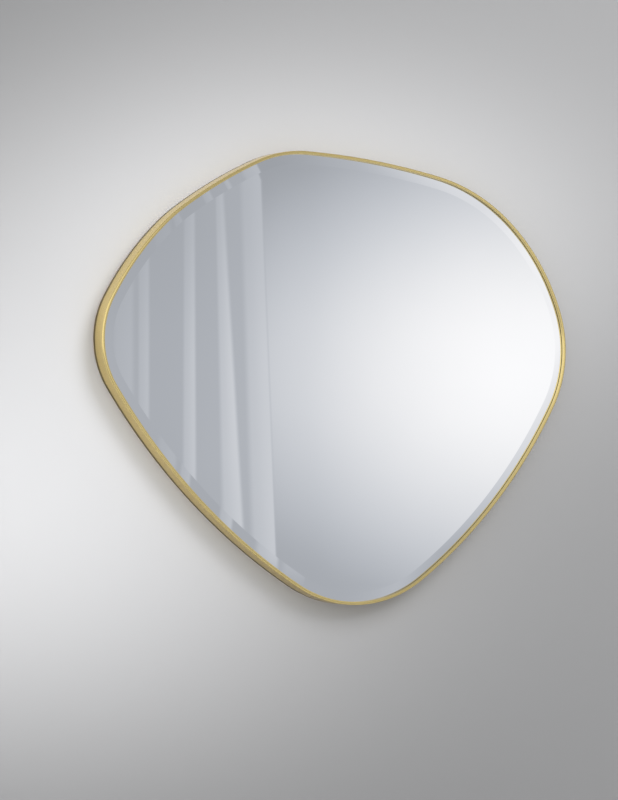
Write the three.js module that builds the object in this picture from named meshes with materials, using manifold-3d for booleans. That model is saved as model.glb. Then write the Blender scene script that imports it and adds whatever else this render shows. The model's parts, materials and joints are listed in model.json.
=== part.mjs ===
// A wall mirror with a pebble-shaped outline: a bevelled pane in a deep, narrow brass-finished frame.
// Millimetres. X runs to the right, Z up and Y into the wall, so the mirror faces -Y and the wall is Y = 0.
// The origin lies on the wall, midway between the two hooks that carry the mirror.

import * as THREE from 'three';
import * as BufferGeometryUtils from 'three/addons/utils/BufferGeometryUtils.js';
import Module from 'manifold-3d';

const wasm = await Module();
wasm.setup();

// ---- Driving dimensions -------------------------------------------------------------------------------

// The outline as it is drawn, clockwise from the right as it is seen from the front, about the middle of the
// mirror. Each corner is a circle, and the side that follows it is one arc that touches both corners and
// stands out by "bow" from a straight run. The drawing is brought to the outline's width, and its height
// follows.
const outlineWidth = 885;
const drawnCorners = [
  { x: 250, z: 52, radius: 200, bow: 17 },   // right corner
  { x: 35, z: -152, radius: 222, bow: 22 },  // foot
  { x: -294, z: 57, radius: 141, bow: 14 },  // left corner
  { x: -122, z: 32, radius: 294, bow: 4 },   // upper left shoulder
  { x: -66, z: 156, radius: 214, bow: 6 },   // top
  { x: 127, z: 26, radius: 320, bow: 25 },   // upper right shoulder
];
const outlineTolerance = 0.11;   // how far a facet may stand off its arc
const centreBelowHooks = 205;    // from the hooks down to the middle of the mirror

// Frame band: side wall and front lip in one section
const frameDepth = 32;
const frameStandOff = 3;         // from the wall to the frame's rear edge
const sideWall = 1.8;
const lipWidth = 5.5;
const lipHeight = 5;
const lipOuterRound = 1.5;
const lipInnerRound = 0.9;
const rearEdgeRound = 0.5;

// Pane and what lies behind it
const glassThickness = 5;
const glassEdge = 2.2;           // what the bevel leaves of the thickness at the rim
const bevelWidth = 18;
const glassClearance = 1.5;      // from the side wall to the rim of the pane
const glazingStrip = 1;
const glazingSetBack = 0.5;      // from the lip's inner edge to the strip's
const backingThickness = 0.4;
const backingSetBack = 1;        // from the rim of the pane to the edge of its backing
const foamThickness = 3;
const foamSetBack = 4;
const boardThickness = 9;
const boardClearance = 1.2;      // from the side wall to the board
const boardEdgeRound = 0.8;
const seatGap = 0.2;             // between pieces that bear on each other

// Fixing tabs, joined to the inside of the side wall
const tabCount = 8;
const firstTabAt = 0.03;         // first tab's place, as a share of the way round
const tabWidth = 22;
const tabThickness = 1.5;
const tabReach = 20;             // along the board, from the side wall
const tabRise = 9;               // along the side wall, from the board
const tabHoleFromEnd = 7;
const wallGap = 0.3;

// Screws
const screwShank = 3.6;          // diameter
const screwHead = 7.4;           // diameter
const screwHeadHeight = 2.2;
const screwHeadRim = 0.9;        // height of the head's edge below its dome
const domeSteps = 3;
const screwTip = 2.5;
const screwBite = 7;             // length in the board
const screwClearance = 0.35;     // round a shank
const screwSides = 12;

// Hangers: a strap with a rolled eye, and a ring that swings in it
const hangerSpacing = 320;
const strapWidth = 15;
const strapThickness = 1.2;
const strapLength = 52;          // from the eye's axis to the lower end
const strapEndRound = 5;
const strapUpperScrew = 13;      // below the eye's axis
const strapEndToScrew = 9;       // from the lower end up to the lower screw
const ringWire = 3;              // diameter
const ringWidth = 24;            // inside
const ringReach = 30;            // from the eye's axis to the far inside of the ring
const ringCorner = 2.5;          // inside radius beside the eye
const ringFarRound = 10;         // inside radius at the far end
const ringSideBow = 0.05;        // the straight stretches are all but flat
const ringTolerance = 0.12;
const ringSides = 8;
const eyeClearance = 0.4;
const eyeOpening = 70;           // degrees that the rolled end stops short of the strap
const eyeSteps = 16;
const strapEndSteps = 5;

// Wall bumpers
const bumperBase = 24;           // diameter on the board
const bumperTip = 20;            // diameter at the wall
const bumperEdge = 1.2;
const bumperBore = 9.4;          // diameter of the well for the screw's head
const bumperFloor = 4;           // rubber under the screw's head
const bumperSides = 20;
const bumperInset = 75;          // from the outline to the middle of a bumper
const bumperShares = [0.09, 0.34, 0.59, 0.965];   // places, as shares of the way round

// ---- Depths, worked out from the wall towards the front -----------------------------------------------

const frameRear = -frameStandOff;
const lipFront = frameRear - frameDepth;
const lipBack = lipFront + lipHeight;
const glassRimFront = lipBack + glazingStrip + 2 * seatGap;
const glassRear = glassRimFront + glassEdge;
const glassFront = glassRear - glassThickness;
const backingRear = glassRear + seatGap + backingThickness;
const foamRear = backingRear + seatGap + foamThickness;
const boardFront = foamRear + seatGap;
const boardRear = boardFront + boardThickness;

const glassInset = sideWall + glassClearance;
const boardInset = sideWall + boardClearance;

// ---- Outline ------------------------------------------------------------------------------------------

const fullTurn = 2 * Math.PI;
const turnBetween = (from, to) => (((from - to) % fullTurn) + fullTurn) % fullTurn;

// The arc that touches two corner circles and stands out by the first one's bow
function sideArc(from, to) {
  const span = Math.hypot(to.x - from.x, to.z - from.z);
  const along = { x: (to.x - from.x) / span, z: (to.z - from.z) / span };
  const outwards = { x: -along.z, z: along.x };
  const meanRadius = (from.radius + to.radius) / 2;
  const radius = meanRadius + (span ** 2 / 4 + from.bow ** 2) / (2 * from.bow);
  const toFrom = radius - from.radius;
  const toTo = radius - to.radius;
  const lengthwise = (toFrom ** 2 - toTo ** 2 + span ** 2) / (2 * span);
  const sideways = Math.sqrt(toFrom ** 2 - lengthwise ** 2);
  return {
    x: from.x + along.x * lengthwise - outwards.x * sideways,
    z: from.z + along.z * lengthwise - outwards.z * sideways,
    radius,
  };
}

// Corner and side arcs in turn, each with the angles of its outward normal where it starts and ends
function tangentChain(corners) {
  const sides = corners.map((corner, i) => sideArc(corner, corners[(i + 1) % corners.length]));
  const touch = (corner, side) => Math.atan2(corner.z - side.z, corner.x - side.x);
  const arcs = [];
  corners.forEach((corner, i) => {
    const before = sides[(i + sides.length - 1) % sides.length];
    const after = sides[i];
    const next = corners[(i + 1) % corners.length];
    const arrive = touch(corner, before);
    const leave = touch(corner, after);
    arcs.push({ ...corner, start: arrive, turn: turnBetween(arrive, leave) });
    arcs.push({ ...after, start: leave, turn: turnBetween(leave, touch(next, after)) });
  });
  let travelled = 0;
  for (const arc of arcs) {
    arc.begins = travelled;
    arc.length = arc.radius * arc.turn;
    travelled += arc.length;
  }
  return { arcs, length: travelled };
}

// How far a chain reaches in a direction, which is given as an angle
function reachOf(chain, angle) {
  const arc = chain.arcs.find((candidate) => turnBetween(candidate.start, angle) <= candidate.turn);
  return arc.x * Math.cos(angle) + arc.z * Math.sin(angle) + arc.radius;
}

const drawn = tangentChain(drawnCorners);
const toSize = outlineWidth / (reachOf(drawn, 0) + reachOf(drawn, Math.PI));
const cornerCircles = drawnCorners.map(({ x, z, radius, bow }) => ({
  x: x * toSize,
  z: z * toSize,
  radius: radius * toSize,
  bow: bow * toSize,
}));

const stationOn = (arc, angle) => ({
  x: arc.x + arc.radius * Math.cos(angle),
  z: arc.z + arc.radius * Math.sin(angle),
  inX: -Math.cos(angle),
  inZ: -Math.sin(angle),
});

// Stations all the way round, close enough together to keep each facet within the tolerance
function stationsAround(chain, tolerance) {
  return chain.arcs.flatMap((arc) => {
    const step = 2 * Math.acos(1 - tolerance / arc.radius);
    const steps = Math.max(1, Math.ceil(arc.turn / step));
    return Array.from({ length: steps }, (_, i) => stationOn(arc, arc.start - (arc.turn * i) / steps));
  });
}

// The station at a distance along the chain
function stationAt(chain, distance) {
  const place = ((distance % chain.length) + chain.length) % chain.length;
  const arc = chain.arcs.findLast((candidate) => candidate.begins <= place);
  return stationOn(arc, arc.start - (place - arc.begins) / arc.radius);
}

const insetPoint = (station, inset, y) =>
  [station.x + station.inX * inset, y, station.z + station.inZ * inset];

// ---- Solids -------------------------------------------------------------------------------------------

function meshFrom(points, triangles) {
  const geometry = new THREE.BufferGeometry();
  geometry.setAttribute('position', new THREE.Float32BufferAttribute(points.flat(), 3));
  geometry.setIndex(triangles.flat());
  return geometry;
}

// The skin between neighbouring stations. A section point is [inset, y], and the sections run so that the
// front face is passed from the outside in.
function skin(stationCount, sectionCount, ringIsClosed, sectionIsClosed) {
  const triangles = [];
  const lastStation = ringIsClosed ? stationCount : stationCount - 1;
  const lastPoint = sectionIsClosed ? sectionCount : sectionCount - 1;
  for (let i = 0; i < lastStation; i += 1) {
    const here = i * sectionCount;
    const there = ((i + 1) % stationCount) * sectionCount;
    for (let j = 0; j < lastPoint; j += 1) {
      const k = (j + 1) % sectionCount;
      triangles.push([here + j, here + k, there + k], [here + j, there + k, there + j]);
    }
  }
  return triangles;
}

const sweptPoints = (stations, section) =>
  stations.flatMap((station) => section.map(([inset, y]) => insetPoint(station, inset, y)));

// A closed band: one section carried all the way round
function bandSolid(stations, section) {
  return meshFrom(sweptPoints(stations, section), skin(stations.length, section.length, true, true));
}

// A short stretch of band with flat ends
function stretchSolid(stations, section) {
  const count = section.length;
  const triangles = skin(stations.length, count, false, true);
  const contour = section.map(([inset, y]) => new THREE.Vector2(inset, y));
  const lastRing = (stations.length - 1) * count;
  const clockwise = THREE.ShapeUtils.isClockWise(contour);
  for (const [a, b, c] of THREE.ShapeUtils.triangulateShape(contour, [])) {
    const ordered = THREE.ShapeUtils.area([contour[a], contour[b], contour[c]]) < 0 === clockwise;
    const [p, q, r] = ordered ? [a, b, c] : [a, c, b];
    triangles.push([p, r, q], [lastRing + p, lastRing + q, lastRing + r]);
  }
  return meshFrom(sweptPoints(stations, section), triangles);
}

// A plate that fills the outline: its edge section runs from the rear face round to the front face
function plateSolid(stations, edge) {
  const points = sweptPoints(stations, edge);
  const triangles = skin(stations.length, edge.length, true, false);
  const mean = (axis) => cornerCircles.reduce((sum, corner) => sum + corner[axis], 0) / cornerCircles.length;
  const rearMiddle = points.length;
  points.push([mean('x'), edge[0][1], mean('z')], [mean('x'), edge.at(-1)[1], mean('z')]);
  stations.forEach((_, i) => {
    const here = i * edge.length;
    const there = ((i + 1) % stations.length) * edge.length;
    triangles.push([rearMiddle, here, there]);
    triangles.push([rearMiddle + 1, there + edge.length - 1, here + edge.length - 1]);
  });
  return meshFrom(points, triangles);
}

// Points on a quarter circle between two [inset, y] points, turning about a centre
function roundedEdge(centre, radius, fromDegrees, toDegrees, steps) {
  return Array.from({ length: steps + 1 }, (_, i) => {
    const angle = THREE.MathUtils.degToRad(fromDegrees + ((toDegrees - fromDegrees) * i) / steps);
    return [centre[0] + radius * Math.cos(angle), centre[1] + radius * Math.sin(angle)];
  });
}

function toManifold(geometry) {
  const bare = geometry.clone();
  bare.deleteAttribute('normal');
  bare.deleteAttribute('uv');
  const merged = BufferGeometryUtils.mergeVertices(bare, 1e-4);
  return new wasm.Manifold(new wasm.Mesh({
    numProp: 3,
    vertProperties: merged.attributes.position.array,
    triVerts: new Uint32Array(merged.index.array),
  }));
}

function fromManifold(solid) {
  const { vertProperties, triVerts } = solid.getMesh();
  const geometry = new THREE.BufferGeometry();
  geometry.setAttribute('position', new THREE.BufferAttribute(new Float32Array(vertProperties), 3));
  geometry.setIndex(new THREE.BufferAttribute(new Uint32Array(triVerts), 1));
  return geometry;
}

// A drill along Y
function drill(diameter, fromY, toY, x, z) {
  const geometry = new THREE.CylinderGeometry(diameter / 2, diameter / 2, toY - fromY, screwSides);
  geometry.translate(x, (fromY + toY) / 2, z);
  return toManifold(geometry);
}

// ---- Finishes -----------------------------------------------------------------------------------------

const finishes = {
  brass: new THREE.MeshStandardMaterial({ color: 0xcbb47c, metalness: 1, roughness: 0.32 }),
  glass: new THREE.MeshStandardMaterial({
    color: 0xdfe6e8, metalness: 0, roughness: 0.02, transparent: true, opacity: 0.35,
  }),
  silvering: new THREE.MeshStandardMaterial({ color: 0xd9dde2, metalness: 1, roughness: 0.03 }),
  rubber: new THREE.MeshStandardMaterial({ color: 0x25262a, metalness: 0, roughness: 0.75 }),
  foam: new THREE.MeshStandardMaterial({ color: 0xe9e9e6, metalness: 0, roughness: 0.9 }),
  board: new THREE.MeshStandardMaterial({ color: 0x8f7350, metalness: 0, roughness: 0.8 }),
  steel: new THREE.MeshStandardMaterial({ color: 0xb7babd, metalness: 1, roughness: 0.35 }),
};

const mirror = new THREE.Group();
mirror.position.z = -centreBelowHooks;

function addPiece(name, geometry, finish, x = 0, y = 0, z = 0) {
  const piece = new THREE.Mesh(geometry, finishes[finish]);
  piece.name = name;
  piece.position.set(x, y, z);
  mirror.add(piece);
}

// ---- Frame band and glazing strip ---------------------------------------------------------------------

const outline = tangentChain(cornerCircles);
const stations = stationsAround(outline, outlineTolerance);

const frameSection = [
  ...roundedEdge([lipOuterRound, lipFront + lipOuterRound], lipOuterRound, 180, 270, 3),
  ...roundedEdge([lipWidth - lipInnerRound, lipFront + lipInnerRound], lipInnerRound, 270, 360, 2),
  [lipWidth, lipBack],
  [sideWall, lipBack],
  [sideWall, frameRear - rearEdgeRound],
  [sideWall - rearEdgeRound, frameRear],
  [rearEdgeRound, frameRear],
  [0, frameRear - rearEdgeRound],
];
addPiece('frame_band', bandSolid(stations, frameSection), 'brass');

// The bevel's height at a distance in from the rim
const bevelRise = (inset) => ((inset - glassInset) * (glassThickness - glassEdge)) / bevelWidth;
const stripOuter = sideWall + wallGap;
const stripInner = lipWidth - glazingSetBack;
const stripFront = lipBack + seatGap;
const stripRear = glassRimFront - seatGap;
addPiece('glazing_strip', bandSolid(stations, [
  [stripOuter, stripFront],
  [stripInner, stripFront],
  [stripInner, stripRear - bevelRise(stripInner)],
  [glassInset, stripRear],
  [stripOuter, stripRear],
]), 'rubber');

// ---- Pane, backing, foam and board --------------------------------------------------------------------

addPiece('mirror_glass', plateSolid(stations, [
  [glassInset, glassRear],
  [glassInset, glassRimFront],
  [glassInset + bevelWidth, glassFront],
]), 'glass');

const backingInset = glassInset + backingSetBack;
addPiece('silvered_backing', plateSolid(stations, [
  [backingInset, backingRear],
  [backingInset, backingRear - backingThickness],
]), 'silvering');

const foamInset = glassInset + foamSetBack;
addPiece('foam_layer', plateSolid(stations, [
  [foamInset, foamRear],
  [foamInset, foamRear - foamThickness],
]), 'foam');

// ---- Places of the fasteners on the board -------------------------------------------------------------

const tabShares = Array.from({ length: tabCount }, (_, i) => firstTabAt + i / tabCount);
const tabDistances = tabShares.map((share) => share * outline.length);
const tabHoleInset = sideWall + wallGap + tabReach - tabHoleFromEnd;
const placeInside = (distance, inset) => {
  const [x, , z] = insetPoint(stationAt(outline, distance), inset, 0);
  return { x, z };
};
const tabScrewPlaces = tabDistances.map((distance) => placeInside(distance, tabHoleInset));
const bumperPlaces = bumperShares.map((share) => placeInside(share * outline.length, bumperInset));

const eyeLevel = centreBelowHooks - ringReach;
const hangers = [
  { side: 'left', x: -hangerSpacing / 2 },
  { side: 'right', x: hangerSpacing / 2 },
];
const strapScrewDrops = { upper: strapUpperScrew, lower: strapLength - strapEndToScrew };

const shankHole = screwShank + 2 * screwClearance;
const boardHoles = [
  ...tabScrewPlaces,
  ...bumperPlaces,
  ...hangers.flatMap(({ x }) => Object.values(strapScrewDrops).map((drop) => ({ x, z: eyeLevel - drop }))),
];
let board = toManifold(plateSolid(stations, [
  [boardInset + boardEdgeRound, boardRear],
  [boardInset, boardRear - boardEdgeRound],
  [boardInset, boardFront],
]));
for (const { x, z } of boardHoles) {
  board = board.subtract(drill(shankHole, boardRear - screwBite - screwClearance, boardRear + 1, x, z));
}
addPiece('backing_board', fromManifold(board), 'board');

// A pan-head screw along Y with the underside of its head at Y = 0 and its point towards the front
function screwGeometry(length) {
  const shank = screwShank / 2;
  const head = screwHead / 2;
  const dome = Array.from({ length: domeSteps + 1 }, (_, i) => {
    const angle = (Math.PI / 2) * (i / domeSteps);
    const rise = (screwHeadHeight - screwHeadRim) * Math.sin(angle);
    return [i === domeSteps ? 0 : head * Math.cos(angle), screwHeadRim + rise];
  });
  const profile = [[0, -length], [shank, -length + screwTip], [shank, 0], [head, 0], ...dome];
  return new THREE.LatheGeometry(profile.map(([r, y]) => new THREE.Vector2(r, y)), screwSides);
}

// ---- Fixing tabs --------------------------------------------------------------------------------------

// An angle that follows the side wall: one leg along the wall, the other on the board
const tabOuter = sideWall + wallGap;
const tabFoot = boardRear + seatGap;
const tabSection = [
  [tabOuter, tabFoot],
  [tabOuter + tabReach, tabFoot],
  [tabOuter + tabReach, tabFoot + tabThickness],
  [tabOuter + tabThickness, tabFoot + tabThickness],
  [tabOuter + tabThickness, tabFoot + tabRise],
  [tabOuter, tabFoot + tabRise],
];
const tabSteps = 4;
tabDistances.forEach((distance, i) => {
  const along = Array.from({ length: tabSteps + 1 }, (_, k) =>
    stationAt(outline, distance + tabWidth * (k / tabSteps - 0.5)));
  const { x, z } = tabScrewPlaces[i];
  const tab = toManifold(stretchSolid(along, tabSection))
    .subtract(drill(shankHole, tabFoot - 1, tabFoot + tabThickness + 1, x, z));
  addPiece(`fixing_tab_${i + 1}`, fromManifold(tab), 'steel');
  const headSeat = tabFoot + tabThickness + seatGap;
  addPiece(`tab_screw_${i + 1}`, screwGeometry(headSeat - boardRear + screwBite), 'steel', x, headSeat, z);
});

// ---- Hangers ------------------------------------------------------------------------------------------

const strapRear = boardRear + seatGap;
const eyeInside = ringWire / 2 + eyeClearance;
const eyeOutside = eyeInside + strapThickness;
const eyeAxisY = strapRear + eyeOutside;

// The strap from the side, in (distance from the board, height): a flat tail that rolls up into the eye
function strapGeometry() {
  const rolledEnd = THREE.MathUtils.degToRad(-180 + eyeOpening);
  const profile = new THREE.Shape();
  profile.moveTo(0, -strapLength);
  profile.lineTo(0, 0);
  profile.absarc(eyeOutside, 0, eyeOutside, Math.PI, rolledEnd, true);
  profile.absarc(eyeOutside, 0, eyeInside, rolledEnd, Math.PI, false);
  profile.lineTo(strapThickness, -strapLength);
  const rolled = new THREE.ExtrudeGeometry(profile, {
    depth: strapWidth, bevelEnabled: false, curveSegments: eyeSteps,
  });
  rolled.translate(0, 0, -strapWidth / 2);
  rolled.applyMatrix4(new THREE.Matrix4().makeBasis(
    new THREE.Vector3(0, 1, 0), new THREE.Vector3(0, 0, 1), new THREE.Vector3(1, 0, 0)));

  // The strap from the front, wider than the eye at the top and round at the lower corners
  const half = strapWidth / 2;
  const low = -strapLength;
  const front = new THREE.Shape();
  front.moveTo(-half - 1, eyeOutside + 1);
  front.lineTo(-half - 1, low + strapEndRound);
  front.lineTo(-half, low + strapEndRound);
  front.absarc(-half + strapEndRound, low + strapEndRound, strapEndRound, Math.PI, 1.5 * Math.PI, false);
  front.absarc(half - strapEndRound, low + strapEndRound, strapEndRound, 1.5 * Math.PI, fullTurn, false);
  front.lineTo(half + 1, low + strapEndRound);
  front.lineTo(half + 1, eyeOutside + 1);
  const blank = new THREE.ExtrudeGeometry(front, {
    depth: 2 * eyeOutside + 2, bevelEnabled: false, curveSegments: strapEndSteps,
  });
  blank.rotateX(Math.PI / 2);
  blank.translate(0, 2 * eyeOutside + 1, 0);

  let strap = toManifold(rolled).intersect(toManifold(blank));
  for (const drop of Object.values(strapScrewDrops)) {
    strap = strap.subtract(drill(shankHole, -1, strapThickness + 1, 0, -drop));
  }
  return fromManifold(strap);
}

// The ring's inside, hanging down from the eye: two small corners beside the eye and a round far end
const ringCornerX = ringWidth / 2 - ringCorner;
const ringCornerZ = -ringWire / 2 - ringCorner;
const ringInside = tangentChain([
  { x: ringCornerX, z: ringCornerZ, radius: ringCorner, bow: ringSideBow },
  { x: 0, z: ringFarRound - ringReach, radius: ringFarRound, bow: ringSideBow },
  { x: -ringCornerX, z: ringCornerZ, radius: ringCorner, bow: ringSideBow },
]);
const ringStations = stationsAround(ringInside, ringTolerance);
const wireSection = Array.from({ length: ringSides }, (_, i) => {
  const angle = (fullTurn * (i + 0.5)) / ringSides;
  const radius = ringWire / 2;
  return [-radius + radius * Math.cos(angle), radius * Math.sin(angle)];
});

for (const { side, x } of hangers) {
  addPiece(`hanger_strap_${side}`, strapGeometry(), 'steel', x, strapRear, eyeLevel);
  addPiece(`hanger_ring_${side}`, bandSolid(ringStations, wireSection), 'steel', x, eyeAxisY, eyeLevel);
  for (const [place, drop] of Object.entries(strapScrewDrops)) {
    const headSeat = strapRear + strapThickness + seatGap;
    const length = headSeat - boardRear + screwBite;
    addPiece(`hanger_screw_${side}_${place}`, screwGeometry(length), 'steel', x, headSeat, eyeLevel - drop);
  }
}

// ---- Wall bumpers -------------------------------------------------------------------------------------

const bumperRear = boardRear + seatGap;
const bumperHeight = -bumperRear;
const bumperProfile = [
  [shankHole / 2, 0],
  [bumperBase / 2 - bumperEdge, 0],
  [bumperBase / 2, bumperEdge],
  [bumperTip / 2, bumperHeight - bumperEdge],
  [bumperTip / 2 - bumperEdge, bumperHeight],
  [bumperBore / 2, bumperHeight],
  [bumperBore / 2, bumperFloor],
  [shankHole / 2, bumperFloor],
  [shankHole / 2, 0],
].map(([r, y]) => new THREE.Vector2(r, y));
bumperPlaces.forEach(({ x, z }, i) => {
  const bumper = new THREE.LatheGeometry(bumperProfile, bumperSides);
  addPiece(`wall_bumper_${i + 1}`, bumper, 'rubber', x, bumperRear, z);
  const headSeat = bumperRear + bumperFloor + seatGap;
  const screw = screwGeometry(headSeat - boardRear + screwBite);
  addPiece(`bumper_screw_${i + 1}`, screw, 'steel', x, headSeat, z);
});

export default mirror;
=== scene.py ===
"""Dresses the packed wall mirror: a pebble-shaped bevelled pane in a deep, narrow brushed brass frame.

Metres. X runs to the right, Z up and Y into the wall, so the mirror faces -Y and the wall is Y = 0.
"""

import json
import math

import bmesh
import bpy
import numpy as np
from bpy.props import FloatProperty, FloatVectorProperty, IntProperty, PointerProperty
from mathutils import Matrix, Vector


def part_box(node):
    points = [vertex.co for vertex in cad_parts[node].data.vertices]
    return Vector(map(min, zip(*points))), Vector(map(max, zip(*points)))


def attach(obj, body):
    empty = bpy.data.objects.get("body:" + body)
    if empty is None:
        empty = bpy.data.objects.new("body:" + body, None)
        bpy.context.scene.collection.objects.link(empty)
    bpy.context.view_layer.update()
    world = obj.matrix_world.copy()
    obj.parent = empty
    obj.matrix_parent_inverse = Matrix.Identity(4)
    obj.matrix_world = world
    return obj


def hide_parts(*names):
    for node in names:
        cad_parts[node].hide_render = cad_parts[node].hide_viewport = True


bl_info = {
    "name": "Pebble Wall Mirror",
    "version": (1, 0, 0),
    "blender": (4, 5, 0),
    "location": "3D View > Sidebar > Mirror",
    "description": "Dresses a packed wall mirror with its finishes and sets up a plain studio",
    "category": "Object",
}

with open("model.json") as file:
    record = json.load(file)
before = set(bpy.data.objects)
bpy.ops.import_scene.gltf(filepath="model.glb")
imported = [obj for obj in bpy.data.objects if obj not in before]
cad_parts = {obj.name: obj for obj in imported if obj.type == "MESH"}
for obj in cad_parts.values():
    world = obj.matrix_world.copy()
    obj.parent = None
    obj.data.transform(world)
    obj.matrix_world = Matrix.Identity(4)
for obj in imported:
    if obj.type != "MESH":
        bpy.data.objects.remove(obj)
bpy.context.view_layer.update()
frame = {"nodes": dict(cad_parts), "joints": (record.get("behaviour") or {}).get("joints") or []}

MM = 0.001
BODY = "mirror"
SENSOR_WIDTH = 36.0         # of the camera, in millimetres
PICTURE_HEIGHT = 8.0        # in hundreds of pixels; the camera's sensor spans it

# The outline as drawn: corner circles clockwise from the right, each with x, z, radius and the bow of the
# side that follows it. It's brought to the packed frame's size and place.
DRAWN_CORNERS = (
    (250, 52, 200, 17),
    (35, -152, 222, 22),
    (-294, 57, 141, 14),
    (-122, 32, 294, 4),
    (-66, 156, 214, 6),
    (127, 26, 320, 25),
)


# ---- Sizes, colours and light that a user would change


def length(name, description, millimetres):
    """A length in metres that the sidebar shows with its unit."""
    return FloatProperty(name=name, description=description, default=millimetres * MM, min=0.0,
                         precision=5, subtype="DISTANCE", unit="LENGTH")


def number(name, description, value, **kind):
    """A plain number."""
    return FloatProperty(name=name, description=description, default=value, **kind)


def colour(name, description, value):
    """A linear colour."""
    return FloatVectorProperty(name=name, description=description, default=value, size=3, min=0.0, max=1.0,
                               subtype="COLOR")


class FrameSizes(bpy.types.PropertyGroup):
    """The frame band's section."""

    side_wall: length("Side wall", "Thickness of the side wall", 1.8)
    lip_width: length("Lip width", "How far the front lip reaches over the pane", 5.5)
    lip_height: length("Lip height", "Depth of the front lip", 5.0)
    outer_round: length("Outer round", "Rounding of the lip's outer edge", 3.0)
    inner_round: length("Inner round", "Rounding of the lip's inner edge", 1.7)
    rear_round: length("Rear round", "Rounding of the edges that face the wall", 0.5)
    station_step: length("Station step", "Distance between the sections along the outline", 3.0)


class PaneSizes(bpy.types.PropertyGroup):
    """The pane and the strip that it's bedded on."""

    rim: length("Rim", "What the bevel leaves of the pane's thickness", 2.2)
    bevel_width: length("Bevel width", "Width of the polished bevel", 18.0)
    arris: length("Arris", "Ground chamfer along the rim", 0.3)
    strip_setback: length("Strip set-back", "From the lip's inner edge to the glazing strip's", 0.5)
    strip_gap: length("Strip gap", "Between the strip and what it lies on", 0.2)
    bevel_tilt: number("Bevel tilt", "Share of the bevel's slope that its reflection turns by, as photographed",
                       0.183, min=0.0, max=1.0, subtype="FACTOR")


class HangerSizes(bpy.types.PropertyGroup):
    """The swinging rings, the screws and the bumpers on the rear."""

    ring_wire: length("Ring wire", "Diameter of the ring's wire", 3.0)
    ring_width: length("Ring width", "Inside width of the ring", 24.0)
    ring_reach: length("Ring reach", "From the eye's axis to the far inside of the ring", 30.0)
    ring_corner: length("Ring corner", "Inside radius beside the eye", 2.5)
    ring_far_round: length("Ring far round", "Inside radius at the far end", 10.0)
    sheet_edge: length("Sheet edge", "Broken edge on straps and tabs", 0.25)
    recess_width: length("Recess width", "Width of a screw's cross recess", 1.1)
    recess_length: length("Recess length", "Length of a screw's cross recess", 4.4)
    recess_depth: length("Recess depth", "Depth of a screw's cross recess", 1.3)
    seed: IntProperty(name="Seed", description="Decides how far each screw is turned", default=7, min=0)


class Finishes(bpy.types.PropertyGroup):
    """Colours of the materials."""

    brass: colour("Brass", "Brushed brass", (0.89, 0.715, 0.315))
    brass_shade: colour("Brass shade", "Brass where it has darkened a little", (0.79, 0.620, 0.260))
    # Painted shade: a dark band along the frame's rear edge, where it meets the wall.
    brass_rear_shade: colour("Brass rear edge", "Tarnish along the rear edge", (0.19, 0.150, 0.062))
    silver: colour("Silver", "Silver coat seen through the glass", (0.93, 0.945, 0.96))
    glass_edge: colour("Glass edge", "Green of the pane's ground rim", (0.36, 0.52, 0.46))
    back_paint: colour("Back paint", "Protective paint behind the silver", (0.33, 0.36, 0.38))
    rubber: colour("Rubber", "Glazing strip and bumpers", (0.022, 0.022, 0.024))
    foam: colour("Foam", "Foam behind the pane", (0.80, 0.80, 0.77))
    board: colour("Board", "Fibreboard's pressed face", (0.36, 0.245, 0.145))
    board_fibre: colour("Board fibre", "Pale fibres in the board", (0.50, 0.37, 0.235))
    steel: colour("Steel", "Zinc-plated steel", (0.62, 0.64, 0.655))


class Studio(bpy.types.PropertyGroup):
    """Camera and light."""

    azimuth: number("Azimuth", "Camera's turn to the right of the front", math.radians(-30),
                    subtype="ANGLE", unit="ROTATION")
    elevation: number("Elevation", "Camera's height above level", math.radians(-1),
                      subtype="ANGLE", unit="ROTATION")
    lens: number("Lens", "Focal length", 148.5, min=10.0, unit="CAMERA")
    distance: length("Distance", "From the camera to the mirror", 5445)
    centre_drop: length("Centre drop", "From the hooks' height down to the mirror's middle", 205)
    aim_left: length("Aim left", "How far the view's axis passes to the left of the mirror's middle", 34.65)
    aim_below: length("Aim below", "How far the view's axis passes below the mirror's middle", 36.3)
    ambient: number("Ambient", "Strength of the world's light", 0.57, min=0.0)
    key_power: number("Key", "Power of the key lamp", 48.0, min=0.0, unit="POWER")
    rear_power: number("Rear", "Power of the lamp behind the wall", 26.0, min=0.0, unit="POWER")
    screen_distance: length("Screen distance", "From the mirror to the reflected studio screen", 2200)


# ---- Outline and sections


def tangent_chain(corners):
    """Corner and side arcs in turn, each (x, z, radius, start angle, turn), all of them run clockwise.

    A side is the one arc that touches both of its corners and stands out by its bow from a straight run.
    """
    sides = []
    for i, (x, z, radius, bow) in enumerate(corners):
        next_x, next_z, next_radius, _ = corners[(i + 1) % len(corners)]
        span = math.hypot(next_x - x, next_z - z)
        along_x, along_z = (next_x - x) / span, (next_z - z) / span
        side_radius = (radius + next_radius) / 2 + (span**2 / 4 + bow**2) / (2 * bow)
        to_here, to_next = side_radius - radius, side_radius - next_radius
        lengthwise = (to_here**2 - to_next**2 + span**2) / (2 * span)
        sideways = math.sqrt(to_here**2 - lengthwise**2)
        sides.append((x + along_x * lengthwise + along_z * sideways,
                      z + along_z * lengthwise - along_x * sideways, side_radius))
    arcs = []
    for i, (x, z, radius, _) in enumerate(corners):
        before, after, following = sides[i - 1], sides[i], corners[(i + 1) % len(corners)]
        arrive = math.atan2(z - before[1], x - before[0])
        leave = math.atan2(z - after[1], x - after[0])
        arrive_next = math.atan2(following[1] - after[1], following[0] - after[0])
        arcs.append((x, z, radius, arrive, (arrive - leave) % math.tau))
        arcs.append((*after, leave, (leave - arrive_next) % math.tau))
    return arcs


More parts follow.
